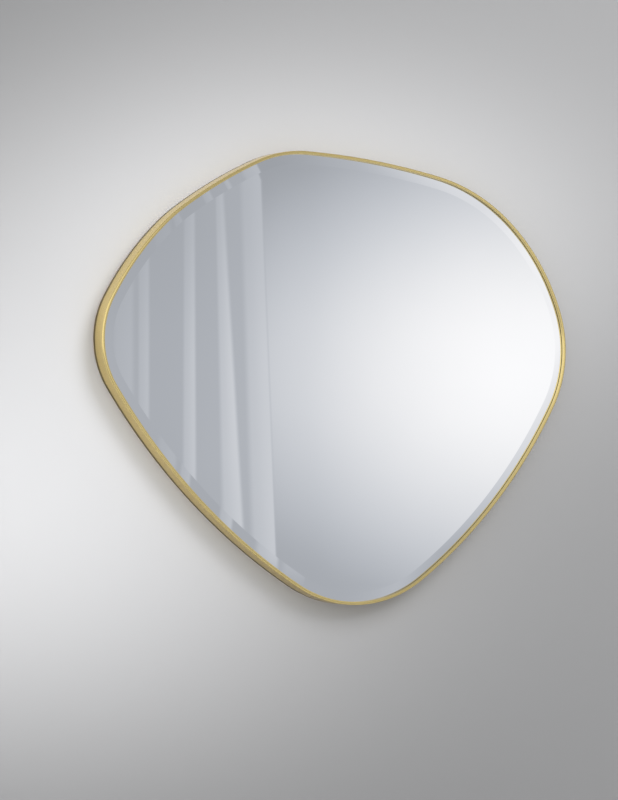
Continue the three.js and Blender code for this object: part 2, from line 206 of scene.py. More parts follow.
def stations_on(arcs, step):
    """Points along the chain, no further apart than the step, and the outward normal at each."""
    points, normals = [], []
    for x, z, radius, start, turn in arcs:
        count = max(1, math.ceil(radius * turn / step))
        angles = start - turn * np.arange(count) / count
        outwards = np.stack([np.cos(angles), np.sin(angles)], axis=1)
        points.append(np.array([x, z]) + radius * outwards)
        normals.append(outwards)
    return np.concatenate(points), np.concatenate(normals)


def outline_stations(step):
    """The frame's outline at the packed frame's size and place: points and outward normals in X and Z."""
    drawn = tangent_chain(DRAWN_CORNERS)
    low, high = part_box("frame_band")
    reach, _ = stations_on(drawn, 0.5)
    packed = np.array([[low.x, low.z], [high.x, high.z]])
    scale = (np.ptp(packed, axis=0) / np.ptp(reach, axis=0)).min()
    shift = packed.mean(axis=0) - scale * (reach.min(axis=0) + reach.max(axis=0)) / 2
    points, normals = stations_on(drawn, step / scale)
    return points * scale + shift, normals


def rounded_section(corners, steps=6, margin=0.15 * MM):
    """A closed section from corners (inset, depth, radius).

    Each flat run gets a point near both of its ends, so that it shades flat beside the roundings.
    """
    section = []
    for i, (inset, depth, radius) in enumerate(corners):
        here = Vector((inset, depth))
        to_before = (Vector(corners[i - 1][:2]) - here).normalized()
        to_after = (Vector(corners[(i + 1) % len(corners)][:2]) - here).normalized()
        half = to_before.angle(to_after) / 2
        start = here + to_before * radius / math.tan(half)
        end = here + to_after * radius / math.tan(half)
        centre = here + (to_before + to_after).normalized() * radius / math.sin(half)
        section.append(start + to_before * margin)
        turn = (start - centre).angle_signed(end - centre)
        for k in range(steps + 1):
            arm = start - centre
            arm.rotate(Matrix.Rotation(-turn * k / steps, 2))
            section.append(centre + arm)
        section.append(end + to_after * margin)
    return [(point.x, point.y) for point in section]


# ---- Pieces


def new_object(name, mesh):
    """An object at the origin, in the scene."""
    made = bpy.data.objects.new(name, mesh)
    bpy.context.scene.collection.objects.link(made)
    return made


def new_mesh(name, points, faces=(), edges=()):
    """A mesh from plain lists."""
    mesh = bpy.data.meshes.new(name)
    mesh.from_pydata([tuple(map(float, point)) for point in points], edges, faces)
    mesh.update()
    return mesh


def loop_mesh(name, points):
    """A closed loop of edges."""
    return new_mesh(name, points, edges=[(i, (i + 1) % len(points)) for i in range(len(points))])


def shade_smooth(mesh):
    """Shades every face of a mesh smooth."""
    mesh.polygons.foreach_set("use_smooth", [True] * len(mesh.polygons))


def face_outwards(mesh):
    """Points the faces of a closed mesh outwards."""
    sculpt = bmesh.new()
    sculpt.from_mesh(mesh)
    bmesh.ops.recalc_face_normals(sculpt, faces=sculpt.faces)
    sculpt.to_mesh(mesh)
    sculpt.free()


def finish_piece(piece, nodes, body=BODY):
    """Rides the piece on its body, in place of the packed nodes that it stands for."""
    shade_smooth(piece.data)
    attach(piece, body)
    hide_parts(*nodes)


def frozen(source, name):
    """The evaluated object as a plain mesh piece; the object that it came from goes."""
    evaluated = source.evaluated_get(bpy.context.evaluated_depsgraph_get())
    mesh = bpy.data.meshes.new_from_object(evaluated)
    bpy.data.objects.remove(source)
    mesh.name = name
    return new_object(name, mesh)


def mark_sharp(mesh, degrees):
    """Keeps the edges crisp that turn by more than the angle."""
    sculpt = bmesh.new()
    sculpt.from_mesh(mesh)
    for edge in sculpt.edges:
        edge.smooth = len(edge.link_faces) == 2 and edge.calc_face_angle(0) < math.radians(degrees)
    sculpt.to_mesh(mesh)
    sculpt.free()


def lathe_mesh(name, profile, sides):
    """A solid of revolution about Y. Its (radius, y) points start and end on the axis or form a loop."""
    on_axis = profile[0][0] == 0
    points, rings = [], []
    for radius, y in profile:
        count = 1 if radius == 0 else sides
        rings.append(list(range(len(points), len(points) + count)))
        for k in range(count):
            angle = math.tau * k / sides
            points.append((radius * math.cos(angle), y, radius * math.sin(angle)))
    faces = []
    for here, there in zip(rings, rings[1:] if on_axis else rings[1:] + rings[:1]):
        for k in range(sides):
            a, b = here[k % len(here)], here[(k + 1) % len(here)]
            c, d = there[(k + 1) % len(there)], there[k % len(there)]
            faces.append(tuple(dict.fromkeys((a, b, c, d))))
    mesh = new_mesh(name, points, faces)
    face_outwards(mesh)
    return mesh


def refined_copy(node, edge):
    """A copy of a packed sheet-metal node with its flat faces joined and its edges broken."""
    mesh = frame["nodes"][node].data.copy()
    mesh.materials.clear()
    sculpt = bmesh.new()
    sculpt.from_mesh(mesh)
    bmesh.ops.remove_doubles(sculpt, verts=sculpt.verts, dist=0.002 * MM)
    bmesh.ops.dissolve_limit(sculpt, angle_limit=math.radians(1), verts=sculpt.verts, edges=sculpt.edges)
    crisp = [e for e in sculpt.edges if len(e.link_faces) == 2 and e.calc_face_angle(0) > math.radians(50)]
    bmesh.ops.bevel(sculpt, geom=crisp, offset=edge, segments=2, profile=0.5, affect="EDGES",
                    clamp_overlap=True)
    for e in sculpt.edges:
        e.smooth = e.calc_face_angle(0) < math.radians(35)
    sculpt.to_mesh(mesh)
    sculpt.free()
    return new_object(f"{node}_piece", mesh)


# ---- Node trees for pieces


class Recipe:
    """A Geometry Nodes tree that is written as a list of steps."""

    def __init__(self, name, inputs):
        self.tree = bpy.data.node_groups.new(name, "GeometryNodeTree")
        for label, kind in inputs.items():
            self.tree.interface.new_socket(label, in_out="INPUT", socket_type=kind)
        self.tree.interface.new_socket("Piece", in_out="OUTPUT", socket_type="NodeSocketGeometry")
        self.given = self.tree.nodes.new("NodeGroupInput").outputs

    def step(self, kind, settings=None, values=None):
        """Adds a node and feeds its inputs with numbers, names or other nodes' outputs."""
        node = self.tree.nodes.new(kind)
        for key, value in (settings or {}).items():
            setattr(node, key, value)
        for key, value in (values or {}).items():
            if isinstance(value, bpy.types.NodeSocket):
                self.tree.links.new(value, node.inputs[key])
            else:
                node.inputs[key].default_value = value
        return node

    def end(self, geometry, finish):
        """Realizes the instances, sets the material and ends the tree."""
        realized = self.step("GeometryNodeRealizeInstances", values={0: geometry})
        painted = self.step("GeometryNodeSetMaterial", values={"Geometry": realized.outputs[0],
                                                              "Material": finish})
        output = self.tree.nodes.new("NodeGroupOutput")
        self.tree.links.new(painted.outputs[0], output.inputs[0])

    def apply(self, source, name, values):
        """Runs the tree on an object and returns the result as a plain piece."""
        modifier = source.modifiers.new("recipe", "NODES")
        modifier.node_group = self.tree
        identifiers = {s.name: s.identifier for s in self.tree.interface.items_tree if s.in_out == "INPUT"}
        for label, value in values.items():
            modifier[identifiers[label]] = value
        return frozen(source, name)


def sweep_recipe():
    """Carries a section along a rail that is drawn flat, then stands the result up to face -Y.

    It stores how far round the section each point lies as "across", for finishes that follow the rail.
    """
    recipe = Recipe("swept_section", {
        "Rail": "NodeSocketGeometry", "Section": "NodeSocketObject", "Place": "NodeSocketVector",
        "Finish": "NodeSocketMaterial"})
    rail = recipe.step("GeometryNodeMeshToCurve", values={0: recipe.given["Rail"]})
    level = recipe.step("GeometryNodeSetCurveNormal", {"mode": "Z_UP"}, {0: rail.outputs[0]})
    drawn = recipe.step("GeometryNodeObjectInfo", {"transform_space": "ORIGINAL"},
                        {"Object": recipe.given["Section"]})
    section = recipe.step("GeometryNodeMeshToCurve", values={0: drawn.outputs["Geometry"]})
    measure = recipe.step("GeometryNodeSplineParameter")
    capture = recipe.step("GeometryNodeCaptureAttribute", {"domain": "POINT"})
    capture.capture_items.new("FLOAT", "across")
    recipe.tree.links.new(section.outputs[0], capture.inputs[0])
    recipe.tree.links.new(measure.outputs["Length"], capture.inputs[1])
    swept = recipe.step("GeometryNodeCurveToMesh", values={0: level.outputs[0], 1: capture.outputs[0]})
    stored = recipe.step("GeometryNodeStoreNamedAttribute", {"data_type": "FLOAT", "domain": "POINT"},
                         {"Geometry": swept.outputs[0], "Name": "across", "Value": capture.outputs[1]})
    stood = recipe.step("GeometryNodeTransform", values={
        "Geometry": stored.outputs[0], "Rotation": (math.pi / 2, 0, 0), "Translation": recipe.given["Place"]})
    recipe.end(stood.outputs[0], recipe.given["Finish"])
    return recipe


def scatter_recipe():
    """Sets a copy of a part on each point, turned about Y by an angle from a fixed seed."""
    recipe = Recipe("set_on_points", {
        "Points": "NodeSocketGeometry", "Part": "NodeSocketObject", "Turn": "NodeSocketFloat",
        "Seed": "NodeSocketInt", "Finish": "NodeSocketMaterial"})
    part = recipe.step("GeometryNodeObjectInfo", {"transform_space": "ORIGINAL"},
                       {"Object": recipe.given["Part"], "As Instance": True})
    angle = recipe.step("FunctionNodeRandomValue", {"data_type": "FLOAT"})
    number = [s for s in angle.inputs if s.name in ("Min", "Max") and s.type == "VALUE" and s.enabled]
    number[0].default_value = 0.0
    recipe.tree.links.new(recipe.given["Turn"], number[1])
    recipe.tree.links.new(recipe.given["Seed"], angle.inputs["Seed"])
    chosen = next(s for s in angle.outputs if s.enabled)
    turned = recipe.step("ShaderNodeCombineXYZ", values={"Y": chosen})
    placed = recipe.step("GeometryNodeInstanceOnPoints", values={
        "Points": recipe.given["Points"], "Instance": part.outputs["Geometry"]})
    recipe.tree.links.new(turned.outputs[0], placed.inputs["Rotation"])
    recipe.end(placed.outputs[0], recipe.given["Finish"])
    return recipe


def sweep_piece(name, rail_points, section, place, finish):
    """A closed rail in X and Z with a closed section of (inset, depth) points carried round it."""
    rail = new_object(f"{name}_rail", loop_mesh(f"{name}_rail", [(x, z, 0) for x, z in rail_points]))
    drawn = new_object(f"{name}_section", loop_mesh(f"{name}_section", [(u, v, 0) for u, v in section]))
    piece = sweep_recipe().apply(rail, name, {"Section": drawn, "Place": place, "Finish": finish})
    bpy.data.objects.remove(drawn)
    return piece


def scatter_piece(name, part_mesh, places, turn, seed, finish):
    """Copies of one part at several places."""
    points = new_object(f"{name}_places", new_mesh(f"{name}_places", places))
    part = new_object(f"{name}_part", part_mesh)
    values = {"Part": part, "Turn": turn, "Seed": seed, "Finish": finish}
    piece = scatter_recipe().apply(points, name, values)
    bpy.data.objects.remove(part)
    return piece


# ---- Shader maths


def arithmetic(operation, swapped=False):
    """A method that adds a Math node, with its operands swapped in the reflected form."""
    def method(self, other):
        return self.calculate(operation, *((other, self) if swapped else (self, other)))
    return method


class Wire:
    """An output socket that takes part in Python arithmetic."""

    def __init__(self, sketch, socket):
        self.sketch = sketch
        self.socket = socket

    def calculate(self, operation, *operands):
        """A Math node on the operands."""
        return self.sketch.node("ShaderNodeMath", {"operation": operation}, dict(enumerate(operands)))

    __add__, __radd__ = arithmetic("ADD"), arithmetic("ADD", swapped=True)
    __sub__, __rsub__ = arithmetic("SUBTRACT"), arithmetic("SUBTRACT", swapped=True)
    __mul__, __rmul__ = arithmetic("MULTIPLY"), arithmetic("MULTIPLY", swapped=True)
    __truediv__, __rtruediv__ = arithmetic("DIVIDE"), arithmetic("DIVIDE", swapped=True)
    __pow__, __rpow__ = arithmetic("POWER"), arithmetic("POWER", swapped=True)

    def above(self, other):
        """1 where this is greater, else 0."""
        return self.calculate("GREATER_THAN", self, other)

    def clamped(self):
        """Held between 0 and 1."""
        return self.sketch.node("ShaderNodeClamp", values={"Value": self})

    def eased(self, low, high):
        """0 below low, 1 above high and a smooth step between."""
        return self.sketch.node("ShaderNodeMapRange", {"interpolation_type": "SMOOTHSTEP"},
                                {"Value": self, "From Min": low, "From Max": high})


class Sketch:
    """A shader tree that is written as expressions."""

    def __init__(self, name, tree=None):
        if tree is None:
            self.material = bpy.data.materials.new(name)
            self.material.use_nodes = True
            tree = self.material.node_tree
        self.tree = tree
        self.tree.nodes.clear()

    def node(self, kind, settings=None, values=None, output=0):
        """Adds a node, sets it up, feeds its inputs and returns one of its outputs."""
        made = self.tree.nodes.new(kind)
        for key, value in (settings or {}).items():
            setattr(made, key, value)
        for key, value in (values or {}).items():
            self.feed(made.inputs[key], value)
        return Wire(self, made.outputs[output])

    def feed(self, socket, value):
        """Links a wire to an input, or sets the input's own value."""
        if isinstance(value, Wire):
            self.tree.links.new(value.socket, socket)
        elif socket.type == "RGBA":
            socket.default_value = (*value[:3], 1.0)
        else:
            socket.default_value = value

    def place(self):
        """Object coordinates."""
        return self.node("ShaderNodeTexCoord", output="Object")

    def split(self, vector):
        """A vector's three parts."""
        parts = self.node("ShaderNodeSeparateXYZ", values={0: vector})
        return [Wire(self, socket) for socket in parts.socket.node.outputs]

    def join(self, x, y, z):
        """A vector from three parts."""
        return self.node("ShaderNodeCombineXYZ", values={0: x, 1: y, 2: z})

    def noise(self, vector, scale, detail=2.0, roughness=0.5):
        """A soft random pattern between 0 and 1."""
        return self.node("ShaderNodeTexNoise", values={
            "Vector": vector, "Scale": scale, "Detail": detail, "Roughness": roughness})

    def bell(self, x, y):
        """1 at the middle, falling smoothly away on both sides of x and y."""
        return math.e ** ((x * x + y * y) * -1.0)

    def mix(self, share, first, second):
        """From the first colour to the second."""
        return self.node("ShaderNodeMix", {"data_type": "RGBA"}, {0: share, 6: first, 7: second}, output=2)

    def bump(self, height, distance, strength=1.0):
        """A normal from a height pattern."""
        return self.node("ShaderNodeBump", values={
            "Height": height, "Distance": distance, "Strength": strength})

    def seen(self):
        """1 for what the camera sees, straight or in metal and glass, else 0."""
        rays = [self.node("ShaderNodeLightPath", output=f"Is {kind} Ray")
                for kind in ("Camera", "Glossy", "Transmission")]
        return (rays[0] + rays[1] + rays[2]).clamped()

    def principled(self, **values):
        """Ends the tree in a Principled shader; an underscore in a name stands for a space."""
        named = {key.replace("_", " "): value for key, value in values.items()}
        self.finish(self.node("ShaderNodeBsdfPrincipled", values=named))
        return self.material

    def finish(self, surface, kind="ShaderNodeOutputMaterial"):
        """Connects the surface to the output."""
        output = self.tree.nodes.new(kind)
        self.tree.links.new(surface.socket, output.inputs["Surface"])


# ---- Finishes


def brushed_brass(colours, rear):
    """Satin brass: fine lines that run along the band, a slow change of tone and painted shade along the rear
    edge.
    """
    sketch = Sketch("brushed_brass")
    place = sketch.place()
    x, y, z = sketch.split(place)
    across = sketch.node("ShaderNodeAttribute", {"attribute_name": "across"}, output="Fac")
    fine = sketch.noise(sketch.join(x * 5.0, across * 4200.0, z * 5.0), 1.0, detail=3.0, roughness=0.6)
    streaks = sketch.noise(sketch.join(x * 2.0, across * 900.0, z * 2.0), 1.0)
    drift = sketch.noise(place, 4.5, detail=3.0)
    tone = (drift * 0.5 + streaks * 0.25 + fine * 0.25).eased(0.25, 0.75)
    bright = sketch.mix(tone, colours.brass_shade, colours.brass)
    # Painted shade: darkens the brass over the last few millimetres before the rear edge, next to the wall.
    rear_shade = (y + drift * 2.0 * MM).eased(rear - 8.0 * MM, rear - 4.0 * MM)
    return sketch.principled(
        Base_Color=sketch.mix(rear_shade, bright, colours.brass_rear_shade),
        Metallic=1.0,
        Roughness=fine * 0.08 + streaks * 0.04 + rear_shade * 0.10 + 0.16,
        Normal=sketch.bump(fine + streaks * 0.5, 0.002 * MM, 0.3),
    )


def silvered_glass(colours, tilt):
    """The silver coat seen through the polished front of the pane."""
    sketch = Sketch("silvered_glass")
    smears = sketch.noise(sketch.place(), 9.0, detail=4.0)
    facing = sketch.split(sketch.node("ShaderNodeNewGeometry", output="Normal"))
    turned = sketch.join(facing[0] * tilt, facing[1], facing[2] * tilt)
    normal = sketch.node("ShaderNodeVectorMath", {"operation": "NORMALIZE"}, {0: turned})
    return sketch.principled(
        Base_Color=sketch.mix(smears.eased(0.25, 0.75) * 0.35, colours.silver, (0.90, 0.92, 0.935)),
        Metallic=1.0,
        Roughness=smears.eased(0.45, 0.85) * 0.02,
        Normal=normal,
    )


def ground_glass(colours):
    """The pane's ground rim, green from the depth of the glass."""
    sketch = Sketch("ground_glass")
    grain = sketch.noise(sketch.place(), 2600.0)
    return sketch.principled(
        Base_Color=sketch.mix(grain, colours.glass_edge, (0.55, 0.68, 0.62)),
        Roughness=grain * 0.2 + 0.35,
        Normal=sketch.bump(grain, 0.02 * MM, 0.4),
    )


def back_paint(colours):
    """Protective paint and film behind the silver."""
    sketch = Sketch("back_paint")
    place = sketch.place()
    orange_peel = sketch.noise(place, 420.0)
    clouds = sketch.noise(place, 7.0, detail=3.0)
    return sketch.principled(
        Base_Color=sketch.mix(clouds, colours.back_paint, (0.40, 0.43, 0.45)),
        Roughness=clouds * 0.15 + 0.38,
        Normal=sketch.bump(orange_peel, 0.03 * MM, 0.5),
    )


def moulded_rubber(colours):
    """Dark rubber with a fine grain and a dusty bloom."""
    sketch = Sketch("moulded_rubber")
    place = sketch.place()
    grain = sketch.noise(place, 3200.0)
    bloom = sketch.noise(place, 130.0, detail=3.0)
    return sketch.principled(
        Base_Color=sketch.mix(bloom.eased(0.45, 0.8), colours.rubber, (0.055, 0.055, 0.058)),
        Roughness=bloom * 0.2 + 0.55,
        Normal=sketch.bump(grain, 0.03 * MM, 0.6),
    )


def closed_cell_foam(colours):
    """Pale foam with fine cells."""
    sketch = Sketch("closed_cell_foam")
    place = sketch.place()
    cells = sketch.node("ShaderNodeTexVoronoi", values={"Vector": place, "Scale": 900.0})
    clouds = sketch.noise(place, 20.0)
    return sketch.principled(
        Base_Color=sketch.mix(clouds * 0.5, colours.foam, (0.70, 0.70, 0.67)),
        Roughness=cells.clamped() * 0.1 + 0.82,
        Normal=sketch.bump(cells, 0.1 * MM, 0.5),
    )


def fibreboard(colours):
    """Pressed wood fibre: pale and dark fibres in a brown mat, with a faint gloss on the pressed face."""
    sketch = Sketch("fibreboard")
    place = sketch.place()
    warp = sketch.noise(place, 60.0)
    x, y, z = sketch.split(place)
    fibres = sketch.noise(sketch.join(x + warp * 0.01, y, z * 0.35), 900.0, detail=5.0, roughness=0.7)
    flecks = sketch.noise(place, 420.0, detail=4.0, roughness=0.65).eased(0.60, 0.72)
    clouds = sketch.noise(place, 5.0, detail=3.0)
    mat = sketch.mix(fibres * 0.7 + clouds * 0.3, colours.board, colours.board_fibre)
    return sketch.principled(
        Base_Color=sketch.mix(flecks * 0.45, mat, (0.20, 0.125, 0.07)),
        Roughness=fibres * 0.2 + 0.52,
        Normal=sketch.bump(fibres, 0.05 * MM, 0.35),
    )


def zinc_plate(colours):
    """Bright zinc on steel: a faint spangle, slightly blue and yellow in turn."""
    sketch = Sketch("zinc_plate")
    place = sketch.place()
    spangle = sketch.noise(place, 260.0, detail=3.0)
    tint = sketch.noise(place, 85.0)
    grey = sketch.mix(spangle.eased(0.3, 0.7) * 0.6, colours.steel, (0.50, 0.52, 0.54))
    return sketch.principled(
        Base_Color=sketch.mix(tint.eased(0.45, 0.8) * 0.35, grey, (0.66, 0.62, 0.48)),
        Metallic=1.0,
        Roughness=spangle * 0.16 + 0.26,
        Normal=sketch.bump(spangle, 0.01 * MM, 0.5),
    )


# ---- Operators: the mirror


class MIRROR_OT_frame_band(bpy.types.Operator):
    """Sweep the brass frame band round the outline."""

    bl_idname = "mirror.frame_band"
    bl_label = "Frame Band"

    def execute(self, context):
        sizes = context.scene.mirror_frame
        front, rear = (corner.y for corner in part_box("frame_band"))
        lip_back = front + sizes.lip_height
        section = rounded_section([
            (sizes.side_wall, lip_back, 0.3 * MM),
            (sizes.side_wall, rear, sizes.rear_round),
            (0, rear, sizes.rear_round),
            (0, front, sizes.outer_round),
            (sizes.lip_width, front, sizes.inner_round),
            (sizes.lip_width, lip_back, 0.2 * MM),
        ])
        points, _ = outline_stations(sizes.station_step)
        brass = brushed_brass(context.scene.mirror_finishes, rear)
        piece = sweep_piece("frame_band_piece", points, section, (0, 0, 0), brass)
        finish_piece(piece, ["frame_band"])
        return {"FINISHED"}


def inset_of(node):
    """How far in from the frame band's outline a packed node's own outline runs."""
    (band_low, band_high), (low, high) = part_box("frame_band"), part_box(node)
    return ((band_high.x - band_low.x) - (high.x - low.x)) / 2


class MIRROR_OT_pane(bpy.types.Operator):
    """Build the bevelled pane and its glazing strip."""

    bl_idname = "mirror.pane"
    bl_label = "Pane"

    def execute(self, context):
        sizes = context.scene.mirror_pane
        band = context.scene.mirror_frame
        colours = context.scene.mirror_finishes
        inset = inset_of("mirror_glass")
        front, rear = (corner.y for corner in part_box("mirror_glass"))
        rim_front = rear - sizes.rim
        rise = (rim_front - front) / sizes.bevel_width
        edge = [
            (inset + sizes.arris, rear),
            (inset, rear - sizes.arris),
            (inset, rim_front + sizes.arris),
            (inset + sizes.arris, rim_front - sizes.arris * rise),
            (inset + sizes.bevel_width, front),
        ]
        points, normals = outline_stations(band.station_step)
        rings, count = len(edge), len(points)
        corners = [(x - u * nx, y, z - u * nz)
                   for (x, z), (nx, nz) in zip(points, normals) for u, y in edge]
        faces, slots = [], []
        for i in range(count):
            here, there = i * rings, (i + 1) % count * rings
            for j in range(rings - 1):
                faces.append((here + j, here + j + 1, there + j + 1, there + j))
                slots.append(0 if j == rings - 2 else 1)
        faces.append(tuple(i * rings + rings - 1 for i in range(count)))
        slots.append(0)
        faces.append(tuple(i * rings for i in reversed(range(count))))
        slots.append(2)
        mesh = new_mesh("mirror_glass_piece", corners, faces)
        for made in (silvered_glass(colours, sizes.bevel_tilt), ground_glass(colours), back_paint(colours)):
            mesh.materials.append(made)
        mesh.polygons.foreach_set("material_index", slots)
        mark_sharp(mesh, 1.5)
        finish_piece(new_object("mirror_glass_piece", mesh), ["mirror_glass"])

        strip_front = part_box("glazing_strip")[0].y
        strip_inset = inset_of("glazing_strip")
        strip_inner = band.lip_width - sizes.strip_setback
        fine = 0.1 * MM
        bed = rim_front - sizes.strip_gap
        strip = rounded_section([
            (strip_inset, strip_front, fine),
            (strip_inner, strip_front, fine),
            (strip_inner, bed - (strip_inner - inset) * rise, fine),
            (strip_inset, bed, fine),
        ], steps=3, margin=0.05 * MM)
        piece = sweep_piece("glazing_strip_piece", points, strip, (0, 0, 0), moulded_rubber(colours))
        finish_piece(piece, ["glazing_strip"])
        return {"FINISHED"}


class MIRROR_OT_backing(bpy.types.Operator):
    """Give the packed backing, foam and board their finishes."""

    bl_idname = "mirror.backing"
    bl_label = "Backing Layers"

    def execute(self, context):
        colours = context.scene.mirror_finishes
        finishes = {"silvered_backing": back_paint, "foam_layer": closed_cell_foam,
                    "backing_board": fibreboard}
        for node, finish in finishes.items():
            data = frame["nodes"][node].data
            data.materials.clear()
            data.materials.append(finish(colours))
        return {"FINISHED"}


def named_nodes(start):
    """The packed nodes whose names start with the given words, in order."""
    return sorted(name for name in frame["nodes"] if name.startswith(start))


class MIRROR_OT_sheet_metal(bpy.types.Operator):
    """Refine the fixing tabs and the hanger straps."""

    bl_idname = "mirror.sheet_metal"
    bl_label = "Tabs and Straps"

    def execute(self, context):
        zinc = zinc_plate(context.scene.mirror_finishes)
        for node in named_nodes("fixing_tab") + named_nodes("hanger_strap"):
            piece = refined_copy(node, context.scene.mirror_hangers.sheet_edge)
            piece.data.materials.append(zinc)
            finish_piece(piece, [node])
        return {"FINISHED"}


class MIRROR_OT_rings(bpy.types.Operator):
    """Bend the two hanging rings, each on its own body."""

    bl_idname = "mirror.rings"
    bl_label = "Hanging Rings"

    def execute(self, context):
        sizes = context.scene.mirror_hangers
        zinc = zinc_plate(context.scene.mirror_finishes)
        wire = sizes.ring_wire / 2
        corner_x = sizes.ring_width / 2 - sizes.ring_corner
        corner_z = -wire - sizes.ring_corner
        side_bow = 0.05 * MM
        arcs = tangent_chain((
            (corner_x, corner_z, sizes.ring_corner, side_bow),
            (0, sizes.ring_far_round - sizes.ring_reach, sizes.ring_far_round, side_bow),
            (-corner_x, corner_z, sizes.ring_corner, side_bow),
        ))
        points, _ = stations_on(arcs, 0.5 * MM)
        sides = 20
        turns = [math.tau * k / sides for k in range(sides)]
        section = [(-wire + wire * math.cos(turn), wire * math.sin(turn)) for turn in turns]
        for joint in frame["joints"]:
            side = joint["child"].removeprefix("ring_")
            name = f"hanger_ring_{side}"
            piece = sweep_piece(f"{name}_piece", points, section, joint["pos_m"], zinc)
            finish_piece(piece, [name], body=joint["child"])
        return {"FINISHED"}


def screw_mesh(sizes, head_radius, head_height, shank_radius, shank_length):
    """A pan-head wood screw along Y, its head's top at 0, with a cross recess."""
    rim, tip_length = 0.41 * head_height, 2.5 * MM
    dome = [(head_radius * math.cos(math.pi / 2 * k / 8), -head_height + rim
             + (head_height - rim) * math.sin(math.pi / 2 * k / 8)) for k in range(8)]
    under = -head_height
    tip = under - shank_length
    profile = [(0, tip), (shank_radius, tip + tip_length), (shank_radius, under),
               (head_radius * 0.96, under), *dome, (0, 0)]
    screw = new_object("screw", lathe_mesh("screw", profile, 32))
    arms = []
    for turned in (False, True):
        wide, narrow = sizes.recess_length / 2, sizes.recess_width / 2
        floor, top = -sizes.recess_depth, 0.5 * MM
        corners = []
        for y, share in ((floor, 0.55), (top, 1.1)):
            for sx, sz in ((-1, -1), (1, -1), (1, 1), (-1, 1)):
                x, z = sx * wide * share, sz * narrow
                corners.append((z, y, x) if turned else (x, y, z))
        faces = [(0, 1, 2, 3), (7, 6, 5, 4), (0, 4, 5, 1), (1, 5, 6, 2), (2, 6, 7, 3), (3, 7, 4, 0)]
        mesh = new_mesh("recess", corners, faces)
        face_outwards(mesh)
        arms.append(new_object("recess", mesh))
        cut = screw.modifiers.new("recess", "BOOLEAN")
        cut.operation = "DIFFERENCE"
        cut.object = arms[-1]
    cut_screw = frozen(screw, "screw_cut")
    for arm in arms:
        bpy.data.objects.remove(arm)
    mesh = cut_screw.data
    bpy.data.objects.remove(cut_screw)
    shade_smooth(mesh)
    mark_sharp(mesh, 30)
    return mesh


class MIRROR_OT_screws(bpy.types.Operator):
    """Set the screws of the tabs, the hangers and the bumpers."""

    bl_idname = "mirror.screws"
    bl_label = "Screws"

    def execute(self, context):
        sizes = context.scene.mirror_hangers
        zinc = zinc_plate(context.scene.mirror_finishes)
        head_height = 2.2 * MM
        shank_radius = 1.8 * MM
        for group in ("tab_screw", "hanger_screw", "bumper_screw"):
            nodes = named_nodes(group)
            boxes = [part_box(node) for node in nodes]
            low, high = boxes[0]
            radius = (high.x - low.x) / 2
            mesh = screw_mesh(sizes, radius, head_height, shank_radius, high.y - low.y - head_height)
            places = [((a.x + b.x) / 2, b.y, (a.z + b.z) / 2) for a, b in boxes]
            piece = scatter_piece(f"{group}s", mesh, places, math.tau, sizes.seed, zinc)
            finish_piece(piece, nodes)
        return {"FINISHED"}


class MIRROR_OT_bumpers(bpy.types.Operator):
    """Turn the four rubber bumpers."""

    bl_idname = "mirror.bumpers"
    bl_label = "Wall Bumpers"

    def execute(self, context):
        nodes = named_nodes("wall_bumper")
        boxes = [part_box(node) for node in nodes]
        low, high = boxes[0]
        base = (high.x - low.x) / 2
        height = high.y - low.y
        tip, bore, hole, floor = base - 2 * MM, 4.7 * MM, 2.15 * MM, 4 * MM
        section = rounded_section([
            (hole, 0, 0.2 * MM),
            (base, 0, 1.0 * MM),
            (tip, height, 1.4 * MM),
            (bore, height, 0.6 * MM),
            (bore, floor, 0.5 * MM),
            (hole, floor, 0.3 * MM),
        ], steps=5)
        mesh = lathe_mesh("bumper", section, 56)
        places = [((a.x + b.x) / 2, a.y, (a.z + b.z) / 2) for a, b in boxes]
        rubber = moulded_rubber(context.scene.mirror_finishes)
        piece = scatter_piece("wall_bumpers", mesh, places, 0.0, 0, rubber)
        finish_piece(piece, nodes)
        return {"FINISHED"}


# ---- Operators: the studio


def view_axes(azimuth, elevation):
    """The camera's right, up and backward directions."""
    back = Vector((math.sin(azimuth) * math.cos(elevation), -math.cos(azimuth) * math.cos(elevation),
                   math.sin(elevation)))
    right = Vector((0, 0, 1)).cross(back).normalized()
    return right, back.cross(right), back


def upright(origin, right, up, back):
    """A matrix from an origin and three directions."""
    turned = Matrix((right, up, back)).transposed().to_4x4()
    turned.translation = origin
    return turned


def outline_middle(studio):
    """The point of the frame's rear plane that the camera and the lamps are set out from."""
    return Vector((0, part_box("frame_band")[1].y, -studio.centre_drop))


class MIRROR_OT_camera(bpy.types.Operator):
    """Set the camera at the photograph's angle."""

    bl_idname = "mirror.camera"
    bl_label = "Camera"

    def execute(self, context):
        studio = context.scene.mirror_studio
        right, up, back = view_axes(studio.azimuth, studio.elevation)
        camera = bpy.data.objects.new("camera", bpy.data.cameras.new("camera"))
        camera.data.lens = studio.lens
        camera.data.sensor_width = SENSOR_WIDTH
        camera.data.clip_end = 60.0
        aim = outline_middle(studio) - right * studio.aim_left - up * studio.aim_below
        camera.matrix_world = upright(aim + back * studio.distance, right, up, back)
        context.scene.collection.objects.link(camera)
        context.scene.camera = camera
        return {"FINISHED"}


